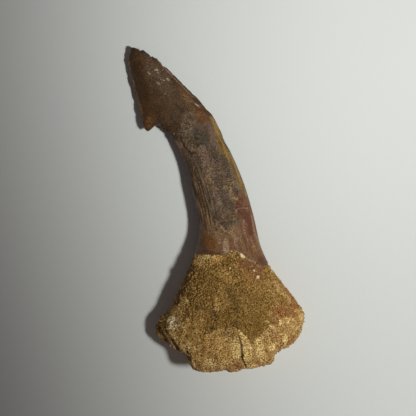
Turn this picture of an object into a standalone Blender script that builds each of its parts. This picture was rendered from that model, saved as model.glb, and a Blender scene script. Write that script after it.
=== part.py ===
"""Fossil sawfish rostral tooth: one solid, lying on its flat side as it rests on a table.

Run with: blender --background --python part.py

Lengths are in millimetres until the mesh is made. +X is to the right, +Y runs from the root's rim
to the crown's tip and +Z is up, away from the surface that the tooth lies on. The origin is at the
bottom centre of the tooth's box.

The tooth is one loft. Each station is a cut across it, from a point on the barbed edge (left) to a
point on the outer edge (right), with the heights of those two edges and the thickness above and
below them. The rings bow towards -Y in the root, which opens like a fan, and towards +Y above the
barb, which leaves the notch under its point.
"""

import math
from typing import NamedTuple

import bmesh
import bpy
import numpy as np

MM = 0.001

# Driving dimensions, in millimetres.
BLADE_THICKNESS = 3.0
SHAFT_THICKNESS = 5.6
NECK_THICKNESS = 7.4
ROOT_THICKNESS = 11.6
BASE_HOLLOW = 2.0
TIP_BULGE = 0.2

# How finely the loft is divided.
RING_POINTS = 48
RINGS_PER_STATION = 3
BASE_ROWS = 6
TIP_ROWS = 3

SHARP_ANGLE = math.radians(50)
FOSSIL_COLOUR = (0.13, 0.07, 0.025, 1.0)
FOSSIL_ROUGHNESS = 0.6


class Station(NamedTuple):
    """One cut across the tooth. A fullness of 2 is an ellipse, less is a lens, more is a box."""

    left: tuple
    right: tuple
    edge_heights: tuple
    top: float
    belly: float
    fullness: float
    fan: float = 0.0
    hook: float = 0.0


# How far each point across the root drops towards its rim, as a share of the fan's depth.
RIM_ACROSS = (-1.0, -0.93, -0.74, -0.55, -0.49, -0.44, -0.2, 0.1, 0.5, 0.6, 0.68, 0.85, 0.95, 1.0)
RIM_DROP = (0.0, 0.21, 0.43, 0.62, 0.8, 0.94, 1.0, 0.97, 0.87, 0.74, 0.6, 0.48, 0.26, 0.0)

# How far each point across the blade lifts above the line from the barb's point.
HOOK_ACROSS = (-1.0, -0.86, -0.7, -0.3, 0.3, 1.0)
HOOK_LIFT = (0.0, 0.55, 1.0, 1.0, 0.6, 0.0)


def tooth_stations():
    """The cuts from the broken tip to the root's rim."""
    blade, shaft, neck, root = BLADE_THICKNESS, SHAFT_THICKNESS, NECK_THICKNESS, ROOT_THICKNESS
    return [
        # The broken tip and the blade.
        Station((-16.8, 27.4), (-14.6, 27.5), (1.9, 1.9), 0.2 * blade, 0.2 * blade, 1.8),
        Station((-17.15, 26.5), (-12.9, 26.2), (2.0, 2.0), 0.3 * blade, 0.3 * blade, 1.7),
        Station((-17.35, 25.4), (-11.8, 25.2), (2.05, 2.05), 0.36 * blade, 0.36 * blade, 1.65),
        Station((-17.2, 24.0), (-10.35, 23.5), (2.1, 2.1), 0.42 * blade, 0.41 * blade, 1.6),
        Station((-16.65, 22.0), (-8.2, 21.35), (2.2, 2.15), 0.48 * blade, 0.46 * blade, 1.6),
        Station((-16.0, 20.0), (-6.1, 19.35), (2.25, 2.15), 0.51 * blade, 0.48 * blade, 1.6),
        Station((-15.35, 17.6), (-4.4, 17.55), (2.25, 2.15), 0.55 * blade, 0.5 * blade, 1.65, 0.0, 0.05),
        # The barb's point and the notch under it.
        Station((-14.8, 15.5), (-3.2, 16.2), (2.3, 2.15), 0.6 * blade, 0.52 * blade, 1.7, 0.0, 0.3),
        Station((-14.0, 13.5), (-2.65, 15.45), (2.3, 2.15), 0.63 * blade, 0.54 * blade, 1.7, 0.0, 0.8),
        Station((-12.4, 14.45), (-2.25, 14.9), (2.3, 2.2), 0.63 * blade, 0.54 * blade, 1.8),
        # The shaft.
        Station((-11.05, 13.5), (-1.5, 13.5), (2.3, 2.25), 0.37 * shaft, 0.35 * shaft, 1.9),
        Station((-9.7, 12.3), (-0.75, 11.8), (2.4, 2.35), 0.39 * shaft, 0.45 * shaft, 1.95),
        Station((-8.75, 10.5), (0.3, 9.7), (2.5, 2.5), 0.43 * shaft, 0.48 * shaft, 2.0),
        Station((-7.75, 8.4), (1.3, 7.6), (2.65, 2.65), 0.46 * shaft, 0.48 * shaft, 2.0),
        Station((-6.95, 6.2), (2.2, 5.4), (2.8, 2.8), 0.49 * shaft, 0.49 * shaft, 2.0),
        Station((-6.55, 3.9), (2.95, 3.3), (2.9, 2.9), 0.5 * shaft, 0.5 * shaft, 2.0),
        Station((-5.95, 1.4), (3.6, 1.1), (3.0, 3.0), 0.52 * shaft, 0.51 * shaft, 2.0),
        Station((-5.35, -1.3), (4.3, -1.45), (3.1, 3.1), 0.54 * shaft, 0.52 * shaft, 2.05),
        # The neck, where the crown meets the root.
        Station((-5.05, -3.8), (4.85, -4.0), (3.35, 3.35), 0.44 * neck, 0.43 * neck, 2.1),
        Station((-5.4, -6.1), (5.4, -6.3), (3.55, 3.75), 0.48 * neck, 0.47 * neck, 2.2),
        Station((-6.05, -7.9), (6.2, -8.2), (3.8, 4.2), 0.53 * neck, 0.53 * neck, 2.25),
        # The root, opening like a fan.
        Station((-6.8, -9.95), (7.25, -10.1), (3.8, 4.7), 0.4 * root, 0.38 * root, 2.3, 0.2),
        Station((-7.75, -12.0), (8.75, -12.0), (3.9, 5.1), 0.45 * root, 0.425 * root, 2.3, 0.6),
        Station((-8.65, -14.0), (10.2, -13.8), (3.9, 5.35), 0.5 * root, 0.455 * root, 2.3, 1.2),
        Station((-9.8, -16.4), (11.75, -15.7), (3.8, 5.5), 0.53 * root, 0.46 * root, 2.3, 2.7),
        Station((-11.4, -18.2), (12.65, -17.1), (3.5, 5.5), 0.52 * root, 0.42 * root, 2.3, 5.3),
        Station((-12.7, -19.6), (12.95, -18.3), (3.0, 5.4), 0.45 * root, 0.37 * root, 2.3, 7.9),
        Station((-12.9, -19.9), (12.95, -18.6), (2.9, 5.3), 0.33 * root, 0.28 * root, 2.2, 8.5),
    ]


def smooth_rows(rows, steps):
    """Catmull-Rom curves through the rows' columns, with this many steps from each row to the next."""
    padded = np.vstack([2 * rows[0] - rows[1], rows, 2 * rows[-1] - rows[-2]])
    curve = []
    for before, start, end, after in zip(padded, padded[1:], padded[2:], padded[3:]):
        for step in range(steps):
            t = step / steps
            curve.append(
                0.5 * (2 * start + (end - before) * t)
                + 0.5 * (2 * before - 5 * start + 4 * end - after) * t**2
                + 0.5 * (3 * start - before - 3 * end + after) * t**3
            )
    curve.append(rows[-1])
    return curve


def section_ring(row):
    """The points of one ring, from the outer edge over the top to the barbed edge and back below."""
    left, right, heights = row[0:2], row[2:4], row[4:6]
    top, belly, fullness, fan, hook = row[6:11]
    ring = []
    for point in range(RING_POINTS):
        angle = 2 * math.pi * point / RING_POINTS
        across = math.cos(angle)
        height = (1 - abs(across) ** fullness) ** (1 / fullness)
        share = (across + 1) / 2
        x, y = left + (right - left) * share
        drop = fan * np.interp(across, RIM_ACROSS, RIM_DROP)
        lift = hook * np.interp(across, HOOK_ACROSS, HOOK_LIFT)
        edge = heights[0] + (heights[1] - heights[0]) * share
        above = point <= RING_POINTS // 2
        z = edge + height * (top if above else -belly)
        ring.append((x, y - drop + lift, z))
    return ring


def close_end(bm, ring, rows, depth):
    """Closes one end of the loft with rows of faces, sunk towards +Y by the depth at its middle."""
    half = RING_POINTS // 2
    columns = []
    for point in range(1, half):
        upper, lower = ring[point], ring[RING_POINTS - point]
        narrowing = math.sin(math.pi * point / half) ** 2
        column = [upper]
        for row in range(1, rows + 1):
            share = row / (rows + 1)
            place = upper.co.lerp(lower.co, share)
            place.y += 4 * share * (1 - share) * depth * narrowing
            column.append(bm.verts.new(place))
        columns.append(column + [lower])
    for first, second in zip(columns, columns[1:]):
        for row in range(rows + 1):
            bm.faces.new((first[row], first[row + 1], second[row + 1], second[row]))
    for corner, column in ((ring[0], columns[0]), (ring[half], columns[-1])):
        for row in range(rows + 1):
            bm.faces.new((corner, column[row], column[row + 1]))


def tooth_mesh():
    """The loft, closed at both ends, pressed flat where it rests and centred over the origin."""
    rows = np.array([[*s.left, *s.right, *s.edge_heights, *s[3:]] for s in tooth_stations()])
    bm = bmesh.new()
    rings = [
        [bm.verts.new(place) for place in section_ring(row)]
        for row in smooth_rows(rows, RINGS_PER_STATION)
    ]
    for first, second in zip(rings, rings[1:]):
        for point in range(RING_POINTS):
            after = (point + 1) % RING_POINTS
            bm.faces.new((first[point], first[after], second[after], second[point]))
    close_end(bm, rings[0], TIP_ROWS, TIP_BULGE)
    close_end(bm, rings[-1], BASE_ROWS, BASE_HOLLOW)
    bmesh.ops.recalc_face_normals(bm, faces=bm.faces)

    places = np.array([vert.co for vert in bm.verts])
    centre = (places.min(axis=0) + places.max(axis=0)) / 2
    for vert in bm.verts:
        vert.co.x -= centre[0]
        vert.co.y -= centre[1]
        vert.co.z = max(vert.co.z, 0.0)
    bmesh.ops.scale(bm, vec=(MM, MM, MM), verts=bm.verts)
    mesh = bpy.data.meshes.new("tooth")
    bm.to_mesh(mesh)
    bm.free()
    return mesh


def fossil_material():
    material = bpy.data.materials.new("fossil")
    material.use_nodes = True
    shader = material.node_tree.nodes["Principled BSDF"]
    shader.inputs["Base Color"].default_value = FOSSIL_COLOUR
    shader.inputs["Roughness"].default_value = FOSSIL_ROUGHNESS
    shader.inputs["Metallic"].default_value = 0.0
    return material


def clear_scene():
    for obj in list(bpy.data.objects):
        bpy.data.objects.remove(obj, do_unlink=True)


def main():
    clear_scene()
    collection = bpy.data.collections.new("sawfish_rostral_tooth")
    bpy.context.scene.collection.children.link(collection)
    mesh = tooth_mesh()
    mesh.materials.append(fossil_material())
    mesh.shade_smooth()
    mesh.set_sharp_from_angle(angle=SHARP_ANGLE)
    collection.objects.link(bpy.data.objects.new("tooth", mesh))


main()
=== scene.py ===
"""The looks of a fossil sawfish rostral tooth: a barbed, enamelled crown on a flared root of porous bone
with sand cemented to it.

The file is laid out as an add-on and is run as a script. Three operators make everything: the tooth, the
sand on its root, and the table that it lies on with the lamps and the camera.

Places on the tooth are in millimetres: X to the right, Y from the root's rim to the crown's tip, Z up from
the table. The tooth is shaped at a thousand times its size, so that one Blender unit is a millimetre, and
is brought back to its real size when it is finished.
"""

import math

import bpy
import numpy as np
from bpy.props import FloatProperty, FloatVectorProperty, IntProperty, PointerProperty
from mathutils import Matrix, Vector, noise


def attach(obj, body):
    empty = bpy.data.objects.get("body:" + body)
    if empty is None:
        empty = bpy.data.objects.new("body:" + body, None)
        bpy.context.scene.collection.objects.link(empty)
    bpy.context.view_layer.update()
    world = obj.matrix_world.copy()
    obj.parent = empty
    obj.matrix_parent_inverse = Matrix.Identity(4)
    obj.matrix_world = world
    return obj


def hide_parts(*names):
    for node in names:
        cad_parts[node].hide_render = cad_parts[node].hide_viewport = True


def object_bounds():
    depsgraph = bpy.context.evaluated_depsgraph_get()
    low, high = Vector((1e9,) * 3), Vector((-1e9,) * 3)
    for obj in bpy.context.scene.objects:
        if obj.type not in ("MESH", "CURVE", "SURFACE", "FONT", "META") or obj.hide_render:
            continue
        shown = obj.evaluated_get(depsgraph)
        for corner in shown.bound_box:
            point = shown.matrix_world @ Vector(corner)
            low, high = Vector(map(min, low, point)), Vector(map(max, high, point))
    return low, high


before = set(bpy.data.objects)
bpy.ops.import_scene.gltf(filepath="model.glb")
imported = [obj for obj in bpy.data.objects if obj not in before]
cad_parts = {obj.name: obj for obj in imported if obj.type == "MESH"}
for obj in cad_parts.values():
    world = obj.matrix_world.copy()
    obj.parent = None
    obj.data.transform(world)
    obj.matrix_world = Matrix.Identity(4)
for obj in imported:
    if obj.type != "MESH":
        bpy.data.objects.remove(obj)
CAD_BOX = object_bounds()

bl_info = {
    "name": "Fossil Sawfish Tooth",
    "version": (1, 0, 0),
    "blender": (4, 5, 0),
    "location": "View3D > Sidebar > Fossil",
    "description": "Models a fossil sawfish rostral tooth, the sand on its root and the table under it",
    "category": "Object",
}

MM = 0.001
LOWEST, HIGHEST = (np.array(corner) / MM for corner in CAD_BOX)

# How far apart in the noise two patterns with seeds one apart are read.
SEED_SHIFT = 37.7


# ---------------------------------------------------------------------------------------------------------
# Places on the tooth
# ---------------------------------------------------------------------------------------------------------

# The middle of the tooth, from the tip to the middle of the root's rim.
SPINE = (
    (-13.5, 27.7), (-11.3, 23.0), (-9.1, 19.5), (-6.5, 16.4), (-4.1, 13.5), (-2.2, 10.1), (-0.4, 5.9),
    (0.9, 1.5), (1.8, -3.1), (2.3, -6.9), (2.4, -12.0), (2.2, -20.0), (2.0, -28.0),
)

# Where the enamelled crown ends and the root starts.
CROWN_EDGE = (
    (-4.5, -7.5), (-3.8, -7.5), (-2.2, -7.65), (2.1, -7.7), (2.5, -7.1), (2.7, -6.7), (2.95, -6.95),
    (3.5, -7.2), (4.5, -7.85), (6.4, -9.1), (7.7, -9.65), (8.5, -9.3), (9.1, -9.0),
)

# Where the sand that covers the root stops, and the bare bone of its rim starts.
SAND_EDGE = (
    (-11.3, -19.1), (-9.6, -20.0), (-7.9, -20.5), (-5.3, -21.0), (-2.2, -21.0), (-1.6, -20.0), (1.7, -20.0),
    (3.5, -19.8), (4.5, -20.7), (5.8, -22.5), (7.4, -21.0), (9.3, -19.5), (10.2, -18.6), (12.9, -18.1),
    (15.3, -17.4),
)

# The ragged outline of the rim, from its left corner to its right one, with the middle that it is stretched
# from and the way that it faces.
RIM_CENTRE = (1.8, -15.0)
RIM_FACING = (0.0, -1.0)
RIM_OUTLINE = (
    (-10.8, -19.6), (-10.1, -21.5), (-9.1, -22.4), (-7.4, -23.4), (-5.7, -24.6), (-5.0, -24.9),
    (-4.7, -25.9), (-4.2, -27.1), (-3.6, -27.5), (-1.3, -27.7), (0.1, -27.7), (0.6, -27.5), (1.3, -27.3),
    (2.3, -27.65), (3.5, -27.55), (4.0, -27.3), (4.6, -26.95), (5.2, -27.0), (6.9, -26.8), (8.3, -26.3),
    (9.2, -26.2), (9.8, -25.5), (10.1, -24.6), (10.8, -23.8), (11.6, -23.7), (12.7, -23.1), (13.8, -22.2),
    (14.4, -20.9), (14.5, -20.2), (15.1, -18.9), (15.15, -18.1),
)

# The blade's outline, from the shaft's outer edge over the broken tip and down to the barb, with the middle
# that it is stretched from and the way that it faces.
BLADE_CENTRE = (-8.7, 18.6)
BLADE_FACING = (-0.62, 0.78)
BLADE_OUTLINE = (
    (3.14, 8.67), (2.76, 9.52), (2.38, 10.37), (1.91, 11.22), (1.49, 12.07), (1.12, 12.92), (0.7, 13.77),
    (0.27, 14.62), (-0.18, 15.47), (-0.73, 16.32), (-1.57, 17.17), (-2.32, 18.02), (-3.04, 18.87),
    (-3.98, 19.72), (-4.84, 20.57), (-5.73, 21.42), (-6.54, 22.27), (-7.38, 23.12), (-8.18, 23.97),
    (-9.17, 24.7), (-9.56, 25.31), (-9.87, 25.55), (-10.11, 25.86), (-10.51, 26.03), (-10.89, 26.33),
    (-11.3, 26.38), (-11.6, 26.78), (-12.01, 26.95), (-12.42, 27.23), (-12.86, 27.34), (-13.23, 27.25),
    (-13.47, 27.52), (-13.98, 27.69), (-14.39, 27.64), (-14.59, 27.35), (-14.71, 26.95), (-14.95, 26.55),
    (-15, 25.93), (-15.14, 25.48), (-15.05, 24.91), (-14.92, 23.89), (-14.63, 22.8), (-13.97, 20.52),
    (-13.29, 18.28), (-12.72, 15.95), (-12.49, 14.54), (-12.21, 13.77), (-11.77, 13.41), (-11.33, 13.55),
    (-10.75, 13.99), (-10.33, 14.43),
)

# The edge of the upper sheet of bone at the root's left corner, over a lower one.
SHEET_EDGE = (
    (-9.9, -18.6), (-9.3, -20.4), (-8.4, -21.8), (-7.4, -23.0), (-6.6, -23.4), (-5.9, -24.0), (-4.6, -24.9),
)

# The split in the rim, and the thin glossy lip along the crown's lower edge, as (x, y, half width).
RIM_SPLIT = (
    (3.6, -21.0, 0.0), (3.9, -21.8, 0.02), (4.2, -22.9, 0.03), (4.3, -23.9, 0.02), (4.25, -24.85, 0.1),
    (4.7, -25.8, 0.02), (5.1, -26.9, 0.04),
)
CROWN_LIP = (
    (3.0, -6.95, 0.1), (3.9, -7.45, 0.16), (4.6, -7.9, 0.2), (5.6, -8.55, 0.14), (6.6, -9.1, 0.16),
    (7.7, -9.65, 0.12),
)

# The stains of the crown and of the root, with painted shade and highlights among them. Each stroke of the
# brush is the width of its soft rim, its strength and then (x, y, radius) along its path.
CROWN_STAINS = {
    "worn": (
        (1.02, 1.0, (-5.0, 14.9, 0.85), (-4.5, 12.8, 1.53), (-2.4, 10.1, 2.21), (-0.7, 6.4, 2.72),
         (0.6, 2.5, 2.89), (1.3, -0.9, 2.55), (1.3, -2.8, 1.02)),
        (0.68, 1.0, (-9.1, 15.6, 0.51), (-8.2, 14.0, 0.68), (-6.8, 13.2, 0.51)),
        (1.36, 0.5, (-11.3, 24.7, 0.51), (-8.9, 22.4, 0.68)),
    ),
    "bloom": (
        (1.19, 1.0, (-4.5, 15.0, 0.85), (-4.3, 12.8, 1.7), (-2.4, 10.1, 2.89), (-0.7, 6.4, 3.74),
         (0.8, 2.5, 4.42), (2.3, -2.1, 5.1), (3.4, -6.9, 6.12)),
        (2.04, 0.4, (-11.3, 25.1, 0.85), (-9.6, 23.0, 1.02), (-8.5, 21.3, 0.51)),
    ),
    "tan": (
        (1.53, 1.0, (-0.7, -4.5, 1.36), (1.0, -5.7, 2.38), (3.7, -6.5, 3.06), (5.7, -8.9, 2.38)),
        (0.85, 0.45, (-5.5, 19.5, 0.17), (-4.5, 18.6, 0.26), (-3.4, 17.8, 0.17)),
        (1.02, 0.65, (-2.8, 1.1, 0.34), (-2.3, -0.8, 0.68), (-1.6, -2.8, 1.19)),
        (0.51, 0.7, (-6.7, 11.5, 0.26), (-6.0, 10.5, 0.17)),
        (0.68, 0.5, (-1.4, 5.0, 0.26), (-0.7, 3.8, 0.26)),
        (0.68, 0.85, (-3.4, -5.9, 0.51), (-3.1, -7.9, 0.68), (-0.7, -8.2, 0.51)),
        (0.51, 0.75, (-3.6, 3.0, 0.34), (-3.4, 2.1, 0.34)),
        (0.6, 0.55, (1.5, -1.4, 0.51), (2.8, -0.8, 0.51)),
    ),
    "russet": (
        (1.02, 0.35, (-6.2, 20.3, 0.09), (-4.5, 18.8, 0.17), (-2.8, 17.1, 0.26)),
        (1.02, 0.3, (-14.7, 26.8, 0.17), (-13.3, 26.1, 0.34), (-11.3, 25.1, 0.34)),
        (1.02, 0.85, (4.0, 1.6, 0.68), (4.9, -0.4, 0.85), (5.6, -2.8, 0.85), (6.2, -5.2, 0.68)),
        (0.85, 0.6, (7.1, -6.9, 0.51), (7.8, -8.9, 0.51)),
        (0.6, 1.0, (-6.0, 10.1, 0.17), (-5.0, 7.4, 0.27), (-4.3, 4.8, 0.26), (-3.6, 2.3, 0.26)),
        (1.36, 0.45, (3.4, -5.2, 0.68), (4.4, -7.2, 0.51)),
        (1.02, 0.35, (-4.8, 6.7, 0.68), (-4.1, 3.3, 0.85), (-3.3, -0.1, 0.85), (-2.9, -3.1, 0.68)),
        (0.6, 0.4, (1.7, -0.6, 0.51), (2.8, -1.1, 0.51)),
    ),
    "pink": (
        (0.51, 1.0, (-2.9, 10.5, 0.34), (-2.3, 9.4, 0.51), (-1.9, 8.1, 0.51), (-1.6, 6.7, 0.34),
         (-1.4, 5.5, 0.17)),
        (0.51, 0.3, (-5.5, 9.9, 0.17), (-5.0, 8.8, 0.17)),
        (0.85, 0.6, (-1.6, 14.5, 0.51), (-0.6, 12.8, 0.34), (-0.2, 11.1, 0.34)),
        (0.51, 0.8, (-0.2, 3.3, 0.43), (0.3, 1.6, 0.34), (0.8, 0.4, 0.2)),
        (0.68, 0.4, (-0.6, 6.4, 0.34), (-0.4, 8.1, 0.34)),
    ),
    "amber": (
        (1.36, 0.4, (-3.8, 17.1, 0.17), (-2.9, 16.2, 0.34), (-2.1, 15.6, 0.17)),
        (0.68, 0.45, (6.4, -6.7, 0.26), (6.8, -8.1, 0.43)),
        (0.68, 0.5, (-11.4, 15.4, 0.26), (-11.8, 14.2, 0.34)),
        (0.51, 1.0, (-1.6, -5.2, 0.6), (-0.9, -5.9, 0.77)),
        (0.6, 0.3, (-12.1, 17.9, 0.51), (-11.6, 16.6, 0.6), (-10.9, 15.6, 0.51)),
    ),
    "burgundy": (
        (0.34, 0.8, (3.36, 1.62, 0.14), (4.21, 1.62, 0.17)),
        (0.68, 0.9, (3.7, 0.6, 0.26), (4.5, -0.6, 0.43), (5.2, -1.6, 0.34)),
        (0.43, 1.0, (5.1, -0.8, 0.26), (5.6, -2.1, 0.31), (5.9, -4.0, 0.2)),
        (0.22, 0.6, (4.04, -2.47, 0.05), (4.55, -4.5, 0.05), (5.23, -6.89, 0.05)),
        (0.22, 0.7, (5.06, -4.17, 0.05), (5.57, -6.21, 0.05), (6.25, -7.91, 0.05)),
        (0.2, 0.5, (3.36, -3.15, 0.03), (3.7, -5.19, 0.05), (4.21, -6.89, 0.03)),
        (0.68, 0.8, (7.8, -8.4, 0.34), (8.3, -9.3, 0.34)),
        (0.2, 1.0, (6.84, -9.18, 0.17), (7.1, -9.27, 0.1)),
        (0.43, 0.6, (-2.1, -7.2, 0.17), (-0.7, -7.4, 0.17), (0.5, -7.4, 0.1)),
    ),
    # Pale: greyish pale patches and streaks on the neck, and a painted highlight: the stroke along the neck's
    # right edge, from (6.04, -1.1) to (7.01, -5.53).
    "pale": (
        (0.31, 0.85, (1.66, -5.36, 0.31), (1.66, -6.89, 0.37)),
        (0.27, 0.7, (0.98, -2.98, 0.12), (1.66, -3.49, 0.14), (2.17, -4.0, 0.1)),
        (0.6, 0.45, (2.5, -4.0, 0.17), (3.4, -5.0, 0.2)),
        (0.51, 0.45, (0.1, -4.2, 0.17), (0.5, -5.5, 0.17)),
        (0.22, 0.4, (4.55, -1.79, 0.03), (4.8, -3.83, 0.05), (5.57, -5.87, 0.03)),
        (0.19, 0.5, (2.85, -4.17, 0.05), (3.19, -5.87, 0.05), (3.7, -6.89, 0.03)),
        (0.19, 0.5, (5.91, -4.85, 0.03), (6.59, -6.89, 0.03)),
        (0.22, 0.45, (6.04, -1.1, 0.05), (6.28, -2.47, 0.07), (6.55, -4.0, 0.05), (7.01, -5.53, 0.03)),
        (0.19, 0.5, (-10.07, 25.67, 0.02), (-8.54, 23.89, 0.02), (-6.84, 22.1, 0.02), (-5.14, 20.32, 0.02),
         (-3.61, 18.87, 0.02)),
        (0.2, 0.5, (-15.0, 25.42, 0.02), (-14.63, 23.21, 0.03), (-13.98, 21.17, 0.05)),
        (0.34, 0.5, (-6.5, 11.48, 0.17), (-5.99, 10.79, 0.2)),
    ),
    "gold": (
        (0.44, 1.0, (-0.9, 15.6, 0.05), (-0.2, 14.4, 0.15), (0.3, 12.8, 0.26), (1.0, 11.1, 0.34),
         (1.8, 9.4, 0.32), (2.7, 7.9, 0.24), (3.4, 6.4, 0.19), (4.0, 4.8, 0.14), (5.1, 2.5, 0.07)),
        (0.24, 0.6, (-14.05, 21.17, 0.07), (-13.51, 19.3, 0.1), (-12.96, 17.26, 0.09),
         (-12.52, 15.22, 0.05)),
        (0.24, 0.6, (-11.35, 15.64, 0.09)),
        (0.31, 0.45, (6.93, -4.5, 0.07), (7.44, -6.21, 0.1), (7.95, -7.74, 0.09)),
    ),
    "grey": (
        (0.77, 1.0, (-3.4, 13.2, 0.37), (-2.1, 12.3, 0.61), (-2.3, 11.6, 0.37)),
        (0.6, 0.6, (-3.6, 12.0, 0.26), (-3.1, 11.0, 0.26)),
        (0.77, 0.6, (-1.6, 11.0, 0.17), (-0.7, 10.6, 0.26), (-0.2, 9.4, 0.34), (0.1, 8.4, 0.26)),
        (0.85, 0.65, (1.0, 8.6, 0.34), (1.7, 7.6, 0.34), (2.2, 6.2, 0.43)),
        (0.77, 0.5, (0.5, 5.0, 0.34), (0.8, 4.0, 0.2)),
        (0.77, 0.55, (1.0, 2.8, 0.43), (2.0, 1.3, 0.43), (2.3, -0.1, 0.26)),
        (0.68, 0.5, (-1.7, 3.1, 0.1), (-1.2, 1.6, 0.17), (-0.6, -0.4, 0.26), (0.3, -1.8, 0.26),
         (1.7, -2.1, 0.31), (2.5, -0.9, 0.2)),
        (0.6, 0.5, (-3.4, 8.2, 0.34), (-2.9, 7.6, 0.34)),
        (0.37, 0.9, (3.4, 3.1, 0.27)),
    ),
    "crust": (
        (0.31, 0.6, (-5.48, 13.69, 0.07), (-4.8, 13.18, 0.07), (-4.29, 13.35, 0.05)),
        (0.51, 0.4, (-5.1, 14.4, 0.1), (-4.5, 13.7, 0.1)),
        (0.29, 0.65, (-4.63, 11.65, 0.05), (-5.14, 11.22, 0.05), (-4.97, 10.62, 0.05), (-4.46, 9.95, 0.07),
         (-3.78, 10.12, 0.09)),
        (0.27, 0.7, (-5.82, 11.82, 0.14), (-5.48, 11.14, 0.12)),
        (0.34, 0.7, (0.64, -0.09, 0.14), (1.49, -0.34, 0.14), (2.51, -0.43, 0.1)),
        (0.51, 0.35, (1.0, 1.6, 0.17), (0.1, 0.6, 0.17)),
        (1.36, 0.2, (-11.3, 24.4, 0.34), (-9.2, 22.7, 0.34)),
    ),
    "ochre": (
        (0.34, 0.85, (-1.15, 7.4, 0.1), (-0.89, 6.89, 0.1), (-1.23, 6.04, 0.12), (-1.23, 5.02, 0.14),
         (-0.89, 4.0, 0.14)),
        (0.34, 0.9, (1.49, 3.74, 0.12), (2.34, 3.74, 0.1), (2.42, 2.81, 0.12), (2.68, 1.96, 0.15),
         (3.53, 1.87, 0.12)),
        (0.51, 0.5, (2.2, 4.7, 0.17), (3.4, 4.5, 0.17), (3.9, 3.5, 0.14)),
        (0.34, 0.6, (-4.12, 10.12, 0.17)),
        (0.85, 0.35, (-2.1, -0.1, 0.34), (-0.9, -2.1, 0.51), (0.5, -3.3, 0.34)),
        (0.31, 0.7, (0.13, 10.29, 0.1), (0.47, 9.61, 0.1)),
        (0.68, 0.4, (-5.1, 15.6, 0.17), (-3.8, 14.9, 0.17)),
        (0.51, 0.4, (2.8, 5.9, 0.26), (2.2, 7.4, 0.17)),
    ),
    "dark": (
        (0.41, 0.95, (-5.7, 16.7, 0.19), (-5.9, 17.1, 0.09)),
        (0.34, 0.7, (-7.01, 17.85, 0.05), (-5.99, 17.09, 0.09)),
        (0.27, 0.95, (-7.69, 15.73, 0.05), (-7.01, 14.88, 0.12), (-6.33, 14.03, 0.1)),
        (0.6, 0.6, (-9.6, 15.9, 0.17), (-8.9, 14.7, 0.2), (-8.2, 13.9, 0.17)),
        (0.27, 0.9, (-3.36, 12.07, 0.15)),
        (0.27, 0.95, (-3.1, 10.88, 0.2)),
        (0.41, 0.6, (-4.0, 15.4, 0.14), (-4.8, 15.7, 0.12)),
        (0.31, 0.75, (-6.08, 12.5, 0.09), (-5.48, 11.05, 0.09), (-4.46, 9.61, 0.09), (-3.61, 9.61, 0.07)),
        (0.27, 0.7, (-0.3, 8.93, 0.12)),
        (0.24, 0.7, (-1.06, 7.23, 0.07)),
        (0.22, 0.85, (-4.07, 18.14, 0.05), (-3.15, 17.36, 0.05)),
        (0.24, 0.7, (-3.78, 18.87, 0.14), (-3.02, 18.19, 0.14)),
        (0.2, 0.9, (3.53, 2.98, 0.09)),
        (0.31, 0.35, (-2.51, -5.02, 0.05), (-2.42, -6.72, 0.05)),
        (0.41, 0.6, (-5.6, 9.3, 0.07), (-5.0, 7.6, 0.09), (-4.4, 5.7, 0.09), (-4.0, 3.7, 0.07),
         (-3.5, 1.6, 0.05)),
        (0.34, 0.5, (-14.66, 25.76, 0.17), (-13.98, 27.12, 0.14), (-12.79, 27.29, 0.1),
         (-11.6, 26.44, 0.07), (-10.41, 25.42, 0.05)),
        (0.68, 0.4, (-10.9, 20.7, 0.14), (-10.1, 19.8, 0.17)),
        (0.34, 0.5, (0.98, -2.3, 0.1), (2.0, -3.66, 0.1)),
        (0.24, 0.5, (3.53, -0.77, 0.09)),
        (0.43, 0.5, (-1.7, 13.7, 0.43)),
        (0.43, 0.3, (-6.3, 13.7, 0.34)),
    ),
    # Speck: the palest specks and chips, and a painted glint: the three strokes along the crown's lip, from
    # (3.15, -6.94) to (6.52, -8.99).
    "speck": (
        (0.22, 0.75, (-11.64, 23.41, 0.02), (-11.31, 23.09, 0.02)),
        (0.22, 0.75, (-10.45, 23.8, 0.02), (-9.97, 23.94, 0.03), (-9.9, 23.49, 0.02)),
        (0.2, 0.8, (-9.12, 23.89, 0.02)),
        (0.22, 0.85, (-8.37, 22.36, 0.03), (-8.03, 22.05, 0.02)),
        (0.2, 0.75, (-9.48, 22.19, 0.0), (-8.8, 22.02, 0.02)),
        (0.22, 0.85, (-10.07, 21.59, 0.02), (-9.73, 21.42, 0.02)),
        (0.2, 0.7, (-8.8, 19.72, 0.02)),
        (0.19, 0.75, (-3.51, 18.04, 0.02), (-3.07, 17.7, 0.02)),
        (0.22, 0.6, (-7.18, 12.92, 0.03)),
        (0.24, 0.9, (-0.55, 4.59, 0.02)),
        (0.2, 0.95, (3.43, -0.29, 0.05)),
        (0.19, 0.6, (3.7, 0.09, 0.0), (4.55, 0.14, 0.0)),
        (0.19, 0.5, (4.72, 0.15, 0.0), (5.4, 0.17, 0.0)),
        (0.2, 1.0, (4.19, -7.58, 0.12), (4.79, -8.14, 0.12)),
        (0.19, 0.6, (3.15, -6.94, 0.02), (3.9, -7.43, 0.02)),
        (0.19, 0.45, (5.11, -8.35, 0.02), (6.52, -8.99, 0.02)),
        (0.26, 0.5, (0.3, -7.06, 0.03)),
    ),
}

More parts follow.
